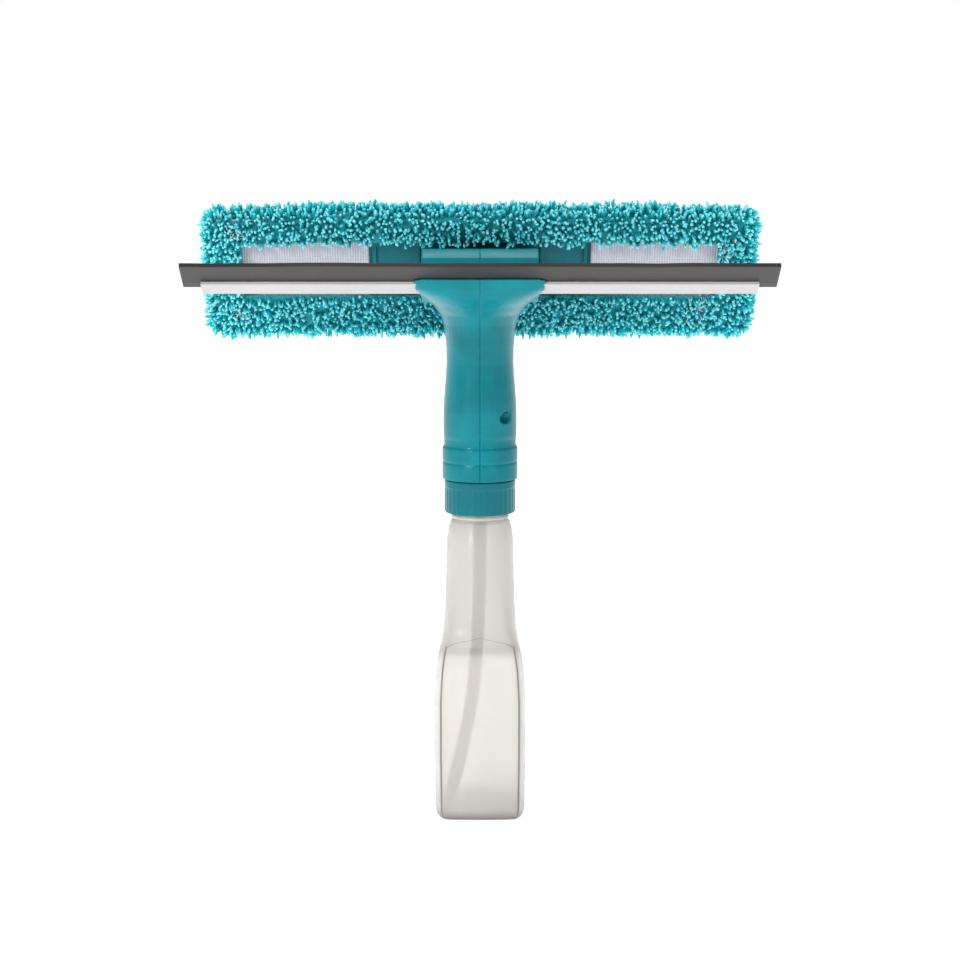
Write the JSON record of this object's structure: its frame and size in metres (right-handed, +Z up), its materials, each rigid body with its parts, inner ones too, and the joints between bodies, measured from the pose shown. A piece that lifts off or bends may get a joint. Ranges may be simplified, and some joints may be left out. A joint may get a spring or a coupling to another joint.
{
  "type": "window cleaning squeegee",
  "caption": "Hand-held spray window cleaner: bottle handle, trigger pump, rubber squeegee blade on one side and a microfibre pad on the other.",
  "frame": {"origin": "centre of the flat base that the bottle stands on", "axes": "+Z up the bottle, +X along the rubber blade, -Y towards the blade's side, +Y towards the pad and the nozzle"},
  "size_m": [0.265, 0.0977, 0.285],
  "materials": {
    "teal_plastic": "satin moulded polypropylene",
    "dark_teal_plastic": "satin moulded polypropylene",
    "collar_plastic": "gloss",
    "bottle_plastic": "translucent frosted polyethylene",
    "natural_plastic": "natural moulded plastic",
    "tube_plastic": "clear extruded tube",
    "white_plastic": "satin extruded profile",
    "grey_plastic": "satin",
    "blade_rubber": "smooth",
    "seal_rubber": "matte",
    "chenille": "microfibre noodle pile",
    "white_knit": "ribbed warp knit",
    "steel": "bright"
  },
  "bodies": {
    "bottle": {"bottle": "bottle_plastic"},
    "head": {"dip_tube": "tube_plastic", "neck_gasket": "natural_plastic", "valve_tube": "natural_plastic", "inlet_ball": "steel", "pump_body": "natural_plastic", "outlet_valve": "seal_rubber", "return_spring": "steel", "trigger_pin": "steel", "swirl_insert": "natural_plastic", "nozzle_seal": "seal_rubber", "left_shell": "teal_plastic", "right_shell": "teal_plastic", "shell_screws": "steel", "pad_plate": "dark_teal_plastic", "plate_screws": "steel", "pad_cover": "chenille", "left_pocket": "white_knit", "right_pocket": "white_knit", "blade_channel": "white_plastic", "clamp_strip": "grey_plastic", "rubber_blade": "blade_rubber"},
    "collar": {"screw_collar": "collar_plastic"},
    "trigger": {"trigger": "teal_plastic"},
    "piston": {"piston": "natural_plastic", "piston_seal": "seal_rubber"},
    "nozzle": {"nozzle_cap": "teal_plastic"}
  },
  "joints": [
    {"name": "head_lift", "type": "slide", "parent": "bottle", "child": "head", "axis": [0, 0, 1], "range_m": [0, 0.0063]},
    {"name": "collar_turn", "type": "hinge", "parent": "head", "child": "collar", "pos_m": [0, 0, 0.15], "axis": [0, 0, 1], "range_deg": [0, 541]},
    {"name": "trigger_squeeze", "type": "hinge", "parent": "head", "child": "trigger", "pos_m": [0, 0.024, 0.198], "axis": [-1, 0, 0], "range_deg": [0, 22], "stiffness_Nm_per_rad": 0.6, "springref_deg": -20.05},
    {"name": "piston_stroke", "type": "slide", "parent": "head", "child": "piston", "axis": [0, -1, 0], "range_m": [0, 0.0071], "deforming": ["return_spring"]},
    {"name": "nozzle_turn", "type": "hinge", "parent": "head", "child": "nozzle", "pos_m": [0, 0.037, 0.207], "axis": [0, 1, 0], "range_deg": [0, 180]}
  ],
  "couplings": [
    {"joint": "collar_turn", "follows": "head_lift", "rad_per_m": 1496},
    {"joint": "piston_stroke", "follows": "trigger_squeeze", "m_per_rad": 0.0184}
  ]
}
